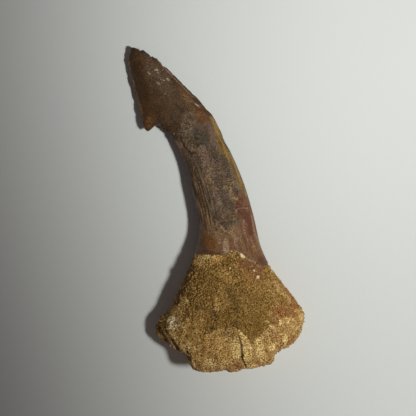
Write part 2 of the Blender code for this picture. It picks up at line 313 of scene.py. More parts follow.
ROOT_STAINS = {
    "olive": (
        (1.53, 0.45, (-2.9, -10.6, 0.68), (-1.9, -12.7, 0.85)),
        (1.36, 0.8, (2.0, -14.0, 0.68), (3.2, -16.1, 0.85), (2.7, -18.1, 0.85)),
        (1.02, 1.0, (0.6, -19.1, 0.51), (3.7, -19.1, 1.19), (7.1, -19.1, 1.02)),
        (0.37, 1.0, (5.7, -20.5, 0.85), (5.9, -21.7, 0.26)),
        (0.68, 0.85, (2.2, -20.7, 0.43), (2.2, -22.2, 0.34), (2.0, -23.4, 0.17)),
        (1.7, 0.45, (4.7, -15.0, 1.02), (7.8, -15.7, 1.19), (8.3, -17.4, 0.85)),
        (0.85, 0.6, (-0.6, -16.9, 0.51), (0.1, -17.9, 0.51)),
        (0.85, 0.6, (-1.4, -18.8, 0.34), (-0.2, -20.1, 0.51)),
        (1.36, 0.4, (7.8, -13.7, 0.85), (9.3, -14.2, 0.68)),
    ),
    "yellow": (
        (0.51, 1.0, (-3.8, -8.9, 0.26), (-2.9, -8.1, 0.6), (-2.6, -8.9, 0.6)),
        (0.6, 0.7, (-1.4, -8.6, 0.2), (-0.4, -8.4, 0.34), (0.6, -8.2, 0.26)),
        (1.02, 0.6, (1.1, -10.5, 0.43), (2.2, -11.6, 0.43)),
        (0.41, 0.95, (0.0, -14.9, 0.26), (0.1, -16.1, 0.34), (0.0, -17.1, 0.17)),
        (1.02, 0.4, (0.8, -12.7, 0.34), (1.5, -15.4, 0.34)),
        (1.53, 0.65, (-4.1, -19.5, 0.68), (-3.4, -21.8, 0.85), (-2.8, -24.2, 0.85)),
        (1.19, 0.7, (0.6, -21.5, 0.68), (-0.9, -22.9, 0.85), (1.5, -24.2, 0.68)),
        (0.68, 0.9, (-5.5, -15.2, 0.26), (-6.0, -16.7, 0.43), (-6.7, -17.8, 0.51)),
        (0.85, 0.5, (9.1, -17.3, 0.34)),
        (1.19, 0.4, (5.9, -12.5, 0.51), (7.8, -12.7, 0.51)),
        (0.51, 0.5, (-2.4, -17.4, 0.34), (-2.4, -19.5, 0.51)),
        (0.85, 0.6, (-0.9, -21.7, 0.51), (-0.6, -23.9, 0.68), (1.8, -23.2, 0.51)),
    ),
    "rust": (
        (0.51, 0.95, (10.0, -16.4, 0.17), (10.3, -17.4, 0.43), (11.0, -18.0, 0.26)),
        (0.68, 0.9, (10.7, -16.1, 0.17), (11.7, -17.3, 0.43), (13.0, -17.4, 0.51), (13.4, -16.1, 0.43)),
        (0.51, 0.9, (10.0, -18.4, 0.26), (10.3, -19.3, 0.26)),
        (0.51, 0.7, (11.2, -13.0, 0.17), (12.5, -14.7, 0.26), (13.7, -16.1, 0.17)),
        (1.19, 0.45, (4.0, -9.6, 0.34), (5.7, -11.0, 0.68), (7.6, -12.5, 0.51)),
        (0.6, 0.6, (-2.1, -23.5, 0.26), (-1.4, -24.2, 0.17)),
        (0.51, 0.5, (-0.2, -24.6, 0.2), (0.1, -25.9, 0.17)),
        (0.51, 0.85, (2.8, -26.6, 0.34), (3.9, -26.3, 0.43)),
        (0.51, 0.5, (6.2, -25.6, 0.26), (7.1, -25.9, 0.26)),
        (0.51, 0.65, (8.8, -24.1, 0.26)),
        (0.85, 0.55, (9.5, -21.2, 0.34), (10.7, -21.8, 0.43)),
        (0.6, 0.65, (12.5, -21.3, 0.26), (13.4, -21.7, 0.26), (12.4, -22.5, 0.17)),
        (0.34, 0.8, (-0.55, -7.99, 0.14)),
        (0.51, 0.5, (9.1, -25.2, 0.26)),
        (0.68, 0.5, (-3.4, -25.9, 0.26), (-2.9, -26.6, 0.17)),
        (0.51, 0.5, (-6.0, -20.7, 0.14), (-5.5, -22.4, 0.17)),
        (0.68, 0.35, (-0.9, -22.2, 0.34), (-0.7, -24.2, 0.51)),
    ),
    "bright": (
        (0.68, 0.8, (-3.6, -8.9, 0.17), (-2.9, -8.2, 0.43), (-2.6, -8.8, 0.43)),
        (0.6, 0.85, (3.5, -21.2, 0.14), (3.4, -23.0, 0.43), (3.4, -24.6, 0.43)),
        (0.6, 1.0, (4.7, -21.7, 0.2), (5.1, -23.2, 0.6), (5.4, -24.7, 0.43)),
        (0.68, 0.75, (6.9, -22.0, 0.26), (7.3, -23.5, 0.43), (7.8, -24.9, 0.26)),
        (0.6, 0.85, (9.6, -23.2, 0.37)),
        (0.22, 1.0, (3.78, -20.4, 0.09), (4.29, -21.17, 0.12), (5.06, -22.19, 0.1), (5.62, -23.04, 0.09)),
        (0.22, 0.9, (4.48, -23.89, 0.05), (4.63, -24.91, 0.09), (4.97, -25.76, 0.07)),
        (0.41, 0.8, (8.5, -18.8, 0.14), (9.5, -19.8, 0.15)),
        (0.34, 0.7, (10.75, -18.45, 0.09), (10.84, -19.3, 0.12)),
        (0.26, 0.9, (11.01, -18.45, 0.09), (11.86, -18.19, 0.1), (13.05, -18.53, 0.09)),
        (0.48, 0.7, (13.7, -17.1, 0.2), (14.4, -17.4, 0.2), (14.6, -18.4, 0.14)),
        (0.68, 0.35, (12.9, -19.8, 0.2), (14.1, -20.1, 0.14)),
        (0.44, 0.65, (11.5, -21.2, 0.26), (11.7, -22.5, 0.17)),
        (0.22, 1.0, (-8.03, -22.27, 0.1), (-7.52, -23.04, 0.12), (-6.84, -23.55, 0.09)),
        (0.22, 0.9, (-5.31, -23.89, 0.07), (-4.63, -24.91, 0.09)),
        (0.27, 0.8, (-4.12, -25.59, 0.09), (-3.61, -26.78, 0.07)),
        (1.02, 0.7, (-7.5, -20.0, 0.51), (-6.5, -21.3, 0.51), (-5.1, -23.0, 0.43)),
        (0.44, 0.95, (-7.2, -17.3, 0.17), (-6.2, -16.4, 0.17), (-5.1, -15.6, 0.17)),
        (0.51, 0.8, (-6.2, -17.4, 0.2), (-6.8, -18.3, 0.26)),
        (0.68, 0.6, (-3.4, -23.4, 0.34)),
        (0.31, 0.85, (1.32, -25.59, 0.14), (1.83, -25.93, 0.14)),
        (0.85, 0.5, (-1.6, -25.6, 0.34), (-0.4, -26.1, 0.34)),
        (0.68, 0.55, (10.2, -12.5, 0.34), (11.0, -13.7, 0.34), (12.5, -15.2, 0.17)),
        (0.41, 0.6, (5.1, -26.6, 0.17), (6.8, -26.6, 0.17)),
        (0.51, 0.8, (-4.5, -9.3, 0.34), (-4.0, -8.1, 0.51), (-2.3, -7.9, 0.43), (-0.6, -7.9, 0.26)),
        (0.51, 0.8, (-5.8, -12.2, 0.34)),
        (0.51, 0.8, (-7.7, -16.9, 0.43)),
        (0.51, 0.75, (-5.8, -19.8, 0.51), (-5.8, -21.3, 0.34)),
        (0.51, 0.75, (-5.7, -24.6, 0.43)),
        (0.34, 0.5, (4.38, -8.08, 0.26)),
        (0.68, 0.35, (9.1, -12.5, 0.51), (9.8, -14.4, 0.51), (10.2, -15.9, 0.34)),
    ),
    # White: a white mineral patch at the root's left corner, and painted highlights: three spots on the root
    # by the crown's edge and a glint on the crown's lip.
    "white_and_glint": (
        (0.37, 1.0, (-7.7, -18.7, 0.6), (-7.3, -19.4, 0.6)),
        (0.41, 0.75, (-7.9, -20.0, 0.26), (-7.0, -18.6, 0.17), (-6.3, -18.4, 0.17)),
        (0.2, 1.0, (7.06, -11.36, 0.17)),
        (0.19, 0.95, (2.37, -9.86, 0.09)),
        (0.2, 0.8, (6.42, -10.29, 0.12)),
        (0.17, 1.0, (4.26, -7.63, 0.09), (4.72, -8.08, 0.09)),
    ),
    # Shade: painted shade in the gutter under the upper sheet, in the split, along the root's left edge and
    # along the rim's lower edge; other strokes darken patches of the root.
    "shade": (
        (0.22, 1.0, (-7.61, -21.76, 0.07), (-7.18, -22.53, 0.12), (-6.67, -23.21, 0.12),
         (-6.5, -23.72, 0.14)),
        (0.24, 0.85, (-4.97, -23.89, 0.07), (-4.8, -24.31, 0.09)),
        (0.34, 0.75, (-8.54, -20.49, 0.1), (-8.29, -21.17, 0.1)),
        (0.51, 0.42, (-4.5, -9.3, 0.07), (-5.1, -11.3, 0.07), (-6.0, -14.0, 0.07), (-6.8, -15.7, 0.05)),
        (0.27, 0.5, (-4.12, -26.61, 0.05), (-3.27, -27.8, 0.05), (-0.72, -27.97, 0.03),
         (2.34, -27.8, 0.03)),
        (0.27, 0.4, (10.16, -23.72, 0.03), (11.52, -22.7, 0.03), (13.05, -21.85, 0.03),
         (14.07, -20.15, 0.03)),
        (0.37, 0.6, (-8.8, -19.1, 0.09), (-8.7, -20.0, 0.09)),
        (0.44, 0.65, (-3.4, -16.5, 0.17)),
        (0.51, 0.55, (-5.0, -17.8, 0.2)),
        (0.51, 0.55, (-0.4, -17.4, 0.26), (0.1, -17.9, 0.17)),
        (0.37, 0.6, (-4.0, -20.0, 0.12)),
        (0.37, 0.6, (-5.1, -21.5, 0.12)),
        (0.51, 0.5, (-0.4, -20.0, 0.17)),
        (0.41, 0.6, (3.6, -26.4, 0.2)),
        (0.2, 1.0, (4.28, -24.91, 0.09)),
        (0.41, 0.45, (-0.1, -24.9, 0.14)),
        (0.2, 0.6, (-5.14, -24.57, 0.05), (-4.63, -25.16, 0.05)),
        (0.2, 0.75, (7.69, -9.83, 0.12)),
        (0.51, 0.45, (2.0, -13.9, 0.17), (3.0, -15.7, 0.14), (3.7, -17.4, 0.1)),
        (0.41, 0.5, (3.2, -18.8, 0.09), (3.4, -20.1, 0.09)),
        (0.51, 0.3, (2.7, -12.3, 0.34), (2.5, -13.3, 0.34)),
        (0.51, 0.3, (-0.7, -14.9, 0.34), (-0.6, -16.1, 0.34)),
        (0.51, 0.45, (1.1, -21.0, 0.34), (2.5, -21.0, 0.34)),
    ),
    "resin": (
        (0.77, 0.8, (4.2, -8.8, 0.17), (5.7, -9.3, 0.43), (7.1, -10.3, 0.51), (7.4, -11.3, 0.43)),
    ),
    "smooth": (
        (0.68, 0.45, (5.4, -22.7, 0.68), (6.9, -23.9, 0.85), (9.1, -23.2, 0.68)),
        (0.68, 0.45, (11.3, -21.3, 0.68), (13.0, -19.8, 0.85), (13.7, -17.4, 0.51)),
        (0.85, 0.75, (8.5, -11.8, 0.51), (10.3, -13.9, 0.68), (12.0, -15.9, 0.51)),
        (0.68, 0.8, (4.2, -8.9, 0.34), (6.1, -9.9, 0.68), (7.8, -11.3, 0.68)),
        (0.85, 0.3, (5.1, -20.7, 0.68), (7.1, -20.3, 0.68)),
    ),
}


# ---------------------------------------------------------------------------------------------------------
# Settings
# ---------------------------------------------------------------------------------------------------------


def number(name, description, default, **kind):
    """A number that a user may change, never below zero."""
    return FloatProperty(name=name, description=description, default=default, min=0.0, **kind)


def distance(name, description, default):
    return number(name, description, default, subtype="DISTANCE", unit="LENGTH")


def colour(name, description, default):
    limits = {"size": 3, "min": 0.0, "max": 1.0}
    return FloatVectorProperty(name=name, description=description, default=default, subtype="COLOR", **limits)


class ToothShape(bpy.types.PropertyGroup):
    """Sizes of the tooth's relief, in millimetres."""

    coarse_mesh: number("Coarse mesh", "Mesh size while the large forms are shaped, in mm", 0.2)
    fine_mesh: number("Fine mesh", "Mesh size of the finished surface, in mm", 0.165)
    enamel_step: number("Enamel step", "How far the crown's enamel stands above the root, in mm", 0.16)
    sheet_step: number("Sheet step", "Drop from the upper sheet of bone to the lower one, in mm", 0.9)
    split_depth: number("Split depth", "Depth of the split in the rim, in mm", 0.5)
    fan_ridges: number("Fan ridges", "Height of the ridges that fan out over the rim, in mm", 0.16)
    pores: number("Pores", "Depth of the pores in the root, in mm", 0.14)
    grooves: number("Grooves", "Depth of the grooves along the shaft, in mm", 0.07)
    pits: number("Pits", "Depth of the pits in the crown's worn patches, in mm", 0.09)


class SandGrains(bpy.types.PropertyGroup):
    """The sand that is cemented to the root."""

    count: IntProperty(name="Grains", description="How many grains are tried", default=5100, min=0)
    smallest: number("Smallest", "Smallest grain, in mm", 0.2)
    largest: number("Largest", "Largest grain, in mm", 0.56)
    seed: IntProperty(name="Seed", description="Another number lays the grains differently", default=7)


class FossilColours(bpy.types.PropertyGroup):
    """Colours of the crown, the root and the stains on both, with painted shade and highlights among them."""

    enamel: colour("Enamel", "The blade's brown enamel", (0.067, 0.0308, 0.0085))
    enamel_light: colour("Light enamel", "Lighter clouds in the enamel", (0.098, 0.0445, 0.0142))
    bloom: colour("Bloom", "Worn enamel of the shaft", (0.142, 0.087, 0.049))
    tan: colour("Tan", "Paler enamel near the root", (0.245, 0.127, 0.054))
    russet: colour("Russet", "Reddish brown enamel", (0.18, 0.073, 0.029))
    pink: colour("Pink", "Pinkish islands in the worn shaft", (0.21, 0.127, 0.08))
    amber: colour("Amber", "Orange-brown stain", (0.235, 0.098, 0.027))
    burgundy: colour("Burgundy", "Dark red stain", (0.135, 0.041, 0.017))
    # Pale also paints a highlight along the neck's right edge.
    pale: colour("Pale bloom", "Greyish pale patches on the neck", (0.43, 0.275, 0.155))
    gold: colour("Gold edge", "Thin golden enamel at the edges", (0.265, 0.15, 0.03))
    grey: colour("Grey bloom", "Grey-green bloom in the worn patches", (0.077, 0.055, 0.034))
    crust: colour("Crust", "Pale mineral crust", (0.22, 0.15, 0.088))
    ochre: colour("Ochre", "Ochre flecks", (0.27, 0.17, 0.08))
    dark: colour("Dark stain", "Dark stain in pits and scratches", (0.045, 0.024, 0.009))
    # Specks also paint a glint along the crown's lip.
    speck: colour("Specks", "The palest specks and chips of the crown", (0.4, 0.3, 0.19))
    # Dark sand also paints shade in the gaps between the root's grains.
    sand_dark: colour("Dark sand", "The matrix between the grains", (0.2, 0.105, 0.022))
    sand: colour("Sand", "Cemented sand", (0.475, 0.262, 0.066))
    olive: colour("Olive sand", "Darker, greener sand", (0.28, 0.15, 0.031))
    bone: colour("Bone", "Bare bone of the rim", (0.465, 0.262, 0.088))
    yellow: colour("Yellow", "Yellow ochre patches", (0.57, 0.32, 0.092))
    rust: colour("Rust", "Rust-coloured patches", (0.38, 0.17, 0.05))
    resin: colour("Resin", "Glossy brown consolidant", (0.28, 0.12, 0.047))
    bright: colour("Bright bone", "The palest bone", (0.76, 0.495, 0.18))
    # White also paints highlights on the root by the crown's edge and a glint on the crown's lip.
    white_and_glint: colour("White", "White mineral", (1, 0.74, 0.4))
    # The colour of painted shade in the hollows, the split, the gutter and along the root's edges; some
    # strokes of it darken patches of the root.
    shade: colour("Dirt", "Dirt in the hollows", (0.08, 0.043, 0.014))


class Studio(bpy.types.PropertyGroup):
    """The table, the lamps and the camera."""

    table: colour("Table", "Pale paper on the table", (0.8, 0.81, 0.795))
    lamp_power: number("Light", "Strength of the lamps, as a share", 1.03)
    lamp_tint: colour("Lamp tint", "Colour of the lamps' light", (0.97, 1.0, 0.965))
    room_light: number("Room light", "Strength of the light from all sides", 0.078)
    camera_height: distance("Camera height", "Height over the table", 0.45)
    field_width: distance("Field", "Width of the view at the tooth", 0.0707)


# ---------------------------------------------------------------------------------------------------------
# Tools for shaping
# ---------------------------------------------------------------------------------------------------------


def new_object(name, data):
    piece = bpy.data.objects.new(name, data)
    bpy.context.scene.collection.objects.link(piece)
    return piece


def select_only(piece):
    bpy.ops.object.select_all(action="DESELECT")
    piece.select_set(True)
    bpy.context.view_layer.objects.active = piece


def apply_modifier(piece, kind, **settings):
    """Adds a modifier with these settings and applies it."""
    select_only(piece)
    modifier = piece.modifiers.new(kind.title(), kind)
    for name, value in settings.items():
        setattr(modifier, name, value)
    bpy.ops.object.modifier_apply(modifier=modifier.name)


def save_mask(piece, name, values):
    """Keeps a value for each point of a piece, which its material reads by this name."""
    layer = piece.data.attributes.new(name, "FLOAT", "POINT")
    layer.data.foreach_set("value", values.astype(np.float32))


def settle(piece):
    """Brings a piece that was made in millimetres to its real size."""
    piece.data.transform(Matrix.Scale(MM, 4))
    piece.data.update()


def fade(low, high, values):
    """0 at low, 1 at high and a smooth curve between them, whichever of the two is greater."""
    share = np.clip((values - low) / (high - low), 0.0, 1.0)
    return share * share * (3 - 2 * share)


def lumps(places, size, seed, octaves=1):
    """Smooth noise, about -1 to 1, with lumps this many millimetres across."""
    shifted = (places / size + SEED_SHIFT * seed).tolist()
    return np.array([noise.fractal(place, 1.0, 2.0, octaves) for place in shifted])


def cells(places, size, seed):
    """Distance to the nearest of scattered points this far apart, 0 at a point and about 1 between them."""
    shifted = (places / size + SEED_SHIFT * seed).tolist()
    return np.array([noise.voronoi(place)[0][0] for place in shifted])


def nearest_on_path(plan, path):
    """For each place in plan: its distance from the path, how far along it is and its signed side."""
    path = np.array(path)
    best = np.full(len(plan), np.inf)
    along, side = np.zeros(len(plan)), np.zeros(len(plan))
    done = 0.0
    for start, end in zip(path[:-1, :2], path[1:, :2]):
        step = end - start
        size = math.hypot(*step)
        share = np.clip((plan - start) @ step / size**2, 0.0, 1.0)
        offset = plan - start - share[:, None] * step
        distance = np.hypot(*offset.T)
        closer = distance < best
        best[closer] = distance[closer]
        along[closer] = done + share[closer] * size
        side[closer] = np.sign(step[0] * offset[closer, 1] - step[1] * offset[closer, 0])
        done += size
    return best, along, side


def stroke_mask(plan, path, soft):
    """1 on a stroke of changing width, fading to 0 across its soft rim."""
    if len(path) == 1:
        x, y, radius = path[0]
        distance = np.hypot(plan[:, 0] - x, plan[:, 1] - y)
        return 1 - fade(radius, radius + soft, distance)
    distance, along, _ = nearest_on_path(plan, path)
    steps = [math.dist(a[:2], b[:2]) for a, b in zip(path, path[1:])]
    radius = np.interp(along, np.cumsum([0.0, *steps]), [place[2] for place in path])
    return 1 - fade(0.0, soft, distance - radius)


class Clay:
    """A mesh as arrays of points and normals in millimetres, which strokes in code can push."""

    def __init__(self, piece):
        self.mesh = piece.data
        self.points = self.read(self.mesh.vertices, "co")
        self.normals = self.read(self.mesh.vertex_normals, "vector")

    def read(self, source, name):
        flat = np.empty(len(source) * 3)
        source.foreach_get(name, flat)
        return flat.reshape(-1, 3)

    def write(self):
        """Puts the points back in the mesh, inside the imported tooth's box."""
        self.points = np.clip(self.points, LOWEST, HIGHEST)
        self.mesh.vertices.foreach_set("co", self.points.ravel())
        self.mesh.update()
        self.normals = self.read(self.mesh.vertex_normals, "vector")

    def push(self, height):
        """Moves each point along its normal, outwards where the height is positive."""
        self.points = self.points + self.normals * height[:, None]
        self.write()

    def sink(self, depth):
        """Moves each point straight down by its depth."""
        self.points[:, 2] -= depth
        self.write()

    @property
    def plan(self):
        return self.points[:, :2]

    def lumps(self, size, seed, octaves=1):
        return lumps(self.points, size, seed, octaves)

    def upper(self):
        """1 on the side that faces up, 0 on the side that faces the table."""
        return fade(-0.25, 0.2, self.normals[:, 2])

    def edge_gap(self, edge):
        """How far each point lies above an edge that runs from left to right, in millimetres along Y."""
        xs, ys = zip(*edge)
        return self.points[:, 1] - np.interp(self.points[:, 0], xs, ys)

    def flow(self):
        """Each point's place across and along the bent tooth: mm from its middle and from its tip."""
        distance, along, side = nearest_on_path(self.plan, SPINE)
        return np.column_stack([distance * side, along, self.points[:, 2]])


# ---------------------------------------------------------------------------------------------------------
# The tooth
# ---------------------------------------------------------------------------------------------------------

# How many directions an outline is pulled in, how wide its soft ends are in radians, and the part of the way
# from its centre to the edge, from which the tooth is stretched.
OUTLINE_STEPS = 170
OUTLINE_END = 0.08
STRETCHED_PART = (0.55, 0.97)

# The blade's barbed edge is bent down by this much above the barb.
BLADE_EDGE_DROP = 0.9
ABOVE_BARB = (14.0, 19.5)

# The root's left corner, where the bone lies in two sheets, the depth of the gutter between them and the
# least height that is left under it.
SHEET_CORNER = (-4.3, -18.4)
GUTTER_DEPTH = 0.35
UNDER_LEDGE = 1.2

# The point that the root's ridges fan out from, and how far from it they start and are at their full height.
FAN_POINT = (2.3, -4.0)
FAN_REACH = (12.0, 17.5)

# The chip by the blade's outer edge and the rough patch under the barb, as (x, y, radius), and how deep the
# chip is and how high the lip along the crown's edge stands.
CHIP_DEPTH = 0.12
LIP_HEIGHT = 0.16
CHIP = ((-4.2, 18.2, 0.05), (-2.9, 17.1, 0.08))
ROUGH_PATCH = ((-10.3, 14.8, 0.2), (-9.2, 14.2, 0.6), (-7.2, 12.3, 0.5))


def start_tooth():
    """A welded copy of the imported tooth, rounded off and a thousand times its size."""
    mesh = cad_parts["tooth"].data.copy()
    mesh.transform(Matrix.Scale(1 / MM, 4))
    tooth = new_object("fossil_tooth", mesh)
    select_only(tooth)
    bpy.ops.object.mode_set(mode="EDIT")
    bpy.ops.mesh.select_all(action="SELECT")
    bpy.ops.mesh.remove_doubles(threshold=0.005)
    bpy.ops.mesh.tris_convert_to_quads()
    bpy.ops.mesh.normals_make_consistent(inside=False)
    bpy.ops.object.mode_set(mode="OBJECT")
    apply_modifier(tooth, "SUBSURF", levels=1, render_levels=1)
    return tooth


def remesh(tooth, size, smoothings):
    """Meshes the tooth again in even faces of this size, and smooths it this many times."""
    apply_modifier(tooth, "REMESH", mode="VOXEL", voxel_size=size, use_smooth_shade=True)
    apply_modifier(tooth, "SMOOTH", factor=0.5, iterations=smoothings)


def pull_outline(clay, centre, facing, outline):
    """Stretches part of the tooth from a centre until it fills a ragged outline, and tells where it did."""
    offset = clay.plan - np.array(centre)
    distance = np.hypot(*offset.T)
    reach_x, reach_y = (np.array(outline) - np.array(centre)).T
    turn = np.arctan2(facing[0] * offset[:, 1] - facing[1] * offset[:, 0], offset @ np.array(facing))
    turns = np.arctan2(facing[0] * reach_y - facing[1] * reach_x, reach_x * facing[0] + reach_y * facing[1])
    wanted = np.interp(turn, turns, np.hypot(reach_x, reach_y))

    bins = np.linspace(turns[0], turns[-1], OUTLINE_STEPS)
    which = np.round((turn - bins[0]) / (bins[1] - bins[0])).astype(int)
    counted = (which >= 0) & (which < len(bins))
    reach = np.zeros(len(bins))
    np.maximum.at(reach, which[counted], distance[counted])
    reach = np.convolve(np.pad(reach, 2, mode="edge"), np.full(5, 0.2), "valid")
    here = np.interp(turn, bins, reach)

    inside = fade(turns[0], turns[0] + OUTLINE_END, turn) * fade(turns[-1], turns[-1] - OUTLINE_END, turn)
    near_edge = fade(*STRETCHED_PART, distance / here) * inside
    scale = 1 + (wanted / here - 1) * near_edge
    clay.points[:, :2] = centre + offset * scale[:, None]
    clay.write()
    return near_edge, turn


def fill_blade_outline(clay):
    return pull_outline(clay, BLADE_CENTRE, BLADE_FACING, BLADE_OUTLINE)


def bend_barbed_edge(clay, near_edge, turn):
    """Bends the blade's barbed edge down towards the table, above the barb."""
    above_barb = fade(*ABOVE_BARB, clay.points[:, 1])
    clay.sink(BLADE_EDGE_DROP * near_edge * fade(-0.35, 0.25, turn) * above_barb)


def step_sheets(clay, shape):
    """Drops the bone outside the upper sheet's edge at the root's left corner, as a second sheet under it."""
    distance, _, side = nearest_on_path(clay.plan, SHEET_EDGE)
    outside = distance * np.where(side < 0, 1.0, -1.0) + 0.12 * clay.lumps(0.9, 3)
    upper = clay.upper() * (clay.plan < SHEET_CORNER).all(axis=1)
    ledge = fade(-0.05, 0.22, outside) * upper
    gutter = fade(-0.1, 0.15, outside) * fade(0.6, 0.25, outside) * upper
    room = np.maximum(clay.points[:, 2] - UNDER_LEDGE, 0.0)
    clay.sink(np.minimum(shape.sheet_step * ledge + GUTTER_DEPTH * gutter, room))


def raise_enamel(clay, shape):
    """Sinks the root under the crown's edge, and tells where the crown is."""
    crown = fade(-0.12, 0.12, clay.edge_gap(CROWN_EDGE) + 0.1 * clay.lumps(0.8, 5, 2))
    clay.push(-shape.enamel_step * (1 - crown))
    return crown


def ridge_rim(clay, shape, crown):
    """Ridges and furrows that fan out from the neck to the rim, on both sides of the root."""
    offset = clay.plan - np.array(FAN_POINT)
    turn = np.arctan2(offset[:, 0], -offset[:, 1])
    out = np.hypot(*offset.T)
    fan = np.column_stack([turn * 17.0, out * 0.3, clay.points[:, 2] * 0.4])
    ridges = lumps(fan, 1.1, 11, 2) + 0.6 * lumps(fan, 0.45, 12)
    clay.push(shape.fan_ridges * fade(*FAN_REACH, out) * (1 - crown) * ridges)
    return fan


def rough_bone(clay, shape, crown):
    """Lumps and pores all over the root, and where it is bare of sand, which is less sharp on the left."""
    root = 1 - crown
    left = fade(1.0, -3.5, clay.points[:, 0])
    wander = (0.3 + 0.9 * left) * clay.lumps(1.2, 21, 2)
    bare = root * fade(0.3, -0.3 - 2.4 * left, clay.edge_gap(SAND_EDGE) + wander)
    swell = 0.13 * clay.lumps(2.6, 22, 2) + 0.1 * clay.lumps(0.8, 23, 2)
    pore = fade(0.34, 0.1, cells(clay.points, 0.8, 25)) * fade(0.05, 0.4, clay.lumps(1.7, 26))
    relief = 0.06 * clay.lumps(0.42, 24) - shape.pores * pore
    clay.push((swell + relief) * root)
    return bare, relief * root


def ragged_edges(clay, crown):
    """Small bites and crumbs along the rim and the broken tip, moved sideways."""
    rim = fade(-21.0, -25.0, clay.points[:, 1]) * (1 - crown)
    tip = fade(26.0, 27.0, clay.points[:, 1] + 0.45 * (clay.points[:, 0] + 14.0))
    edge_on = 1 - np.abs(clay.normals[:, 2])
    bites = 0.2 * clay.lumps(0.75, 31, 2) + 0.1 * clay.lumps(0.35, 32)
    clay.push((rim * 0.9 + tip * 0.3) * edge_on * bites)


def carve_split(clay, shape):
    """The dark split that runs in from the rim."""
    wander = 0.06 * np.column_stack([clay.lumps(0.7, 41), clay.lumps(0.7, 42)])
    groove = stroke_mask(clay.plan + wander, RIM_SPLIT, 0.1) * clay.upper()
    clay.sink(shape.split_depth * groove)
    return groove


def dress_crown(clay, shape, crown, worn):
    """Grooves along the shaft, pits in the worn patches, the chip by the outer edge and the lip."""
    flow = clay.flow()
    across, along, _ = flow.T
    upper = clay.upper()
    grooved = crown * fade(-0.8, -2.2, across) * fade(20.0, 27.0, along) * fade(36.0, 32.0, along)
    stretched = flow * (1.0, 0.07, 0.8)
    strands = np.tanh(2.5 * lumps(stretched, 0.3, 51))
    pits = fade(0.1, 0.55, clay.lumps(0.34, 53)) * worn
    lip = stroke_mask(clay.plan, CROWN_LIP, 0.12) * upper
    height = (
        shape.grooves * grooved * strands
        + 0.02 * crown * lumps(stretched, 0.6, 52, 2)
        - shape.pits * pits
        + 0.05 * clay.lumps(0.5, 54, 2) * worn
        - CHIP_DEPTH * stroke_mask(clay.plan, CHIP, 0.3) * upper
        + LIP_HEIGHT * lip
        + 0.12 * stroke_mask(clay.plan, ROUGH_PATCH, 0.7) * crown * clay.lumps(0.6, 55, 2)
    )
    clay.push(height)
    return height * crown, lip, grooved


def paint_stains(clay, stains, seed):
    """Each stain's mask: strokes on the upper side, and cloudy patches that cover as much of it below."""
    upper = fade(-0.45, -0.05, clay.normals[:, 2])
    wander = np.column_stack([clay.lumps(1.5, seed, 3), clay.lumps(1.5, seed + 1, 3)])
    masks = {}
    for number, (name, strokes) in enumerate(stains.items()):
        drawn = np.zeros(len(wander))
        for soft, strength, *path in strokes:
            where = clay.plan + 0.4 * soft * wander
            drawn = np.maximum(drawn, strength * stroke_mask(where, path, soft))
        field = clay.lumps(3.4, seed + 2 + number, 2)
        level = np.quantile(field, 1 - np.average(drawn, weights=upper))
        clouds = 0.75 * fade(level - 0.1, level + 0.3, field)
        masks[name] = drawn * upper + clouds * (1 - upper)
    return masks


def make_tooth(shape):
    """Shapes the whole tooth and keeps the masks that its materials read."""
    tooth = start_tooth()
    remesh(tooth, shape.coarse_mesh, 12)
    clay = Clay(tooth)
    pull_outline(clay, RIM_CENTRE, RIM_FACING, RIM_OUTLINE)
    bend_barbed_edge(clay, *fill_blade_outline(clay))
    step_sheets(clay, shape)
    remesh(tooth, shape.fine_mesh, 4)

    clay = Clay(tooth)
    fill_blade_outline(clay)
    masks = paint_stains(clay, CROWN_STAINS, 61) | paint_stains(clay, ROOT_STAINS, 81)
    crown = raise_enamel(clay, shape)
    across, along, _ = clay.flow().T
    fan = ridge_rim(clay, shape, crown)
    bare, root_relief = rough_bone(clay, shape, crown)
    ragged_edges(clay, crown)
    split = carve_split(clay, shape)
    crown_relief, lip, grooved = dress_crown(clay, shape, crown, masks["worn"])

    # Relief: its low places, the split among them, are given painted shade, and its raised places painted
    # light.
    others = {
        "crown": crown, "bare": bare, "lip": lip, "grooved": grooved, "across": across, "along": along,
        "fan": fan[:, 0], "fan_out": fan[:, 1], "relief": crown_relief + root_relief - 0.6 * split,
    }
    for name, values in {**masks, **others}.items():
        save_mask(tooth, name, values)
    return tooth, clay, crown, bare, masks


# ---------------------------------------------------------------------------------------------------------
# The sand
# ---------------------------------------------------------------------------------------------------------

GRAIN_SHAPES = 6
CORNERS_CUT = 2

# How much of the sand each stain of the root keeps off.
KEPT_OFF = (("resin", 0.9), ("white_and_glint", 1.0), ("yellow", 0.5), ("smooth", 0.7))


def grain_shape(random):
    """One angular grain about 1 mm across: a coarse ball with a few corners cut off."""
    bpy.ops.object.select_all(action="DESELECT")
    bpy.ops.mesh.primitive_ico_sphere_add(subdivisions=1, radius=0.5)
    grain = bpy.context.object
    bpy.ops.object.mode_set(mode="EDIT")
    for _ in range(CORNERS_CUT):
        facing = Vector(random.normal(size=3)).normalized()
        bpy.ops.mesh.select_all(action="SELECT")
        place = facing * random.uniform(0.24, 0.34)
        bpy.ops.mesh.bisect(plane_co=place, plane_no=facing, use_fill=True, clear_outer=True)
    bpy.ops.mesh.select_all(action="SELECT")
    bpy.ops.mesh.remove_doubles(threshold=0.03)
    bpy.ops.mesh.quads_convert_to_tris()
    bpy.ops.mesh.normals_make_consistent(inside=False)
    bpy.ops.object.mode_set(mode="OBJECT")
    mesh = grain.data
    points = np.array([vert.co for vert in mesh.vertices])
    faces = np.array([face.vertices for face in mesh.polygons])
    bpy.data.objects.remove(grain)
    bpy.data.meshes.remove(mesh)
    return points * random.uniform(0.75, 1.2, size=3), faces


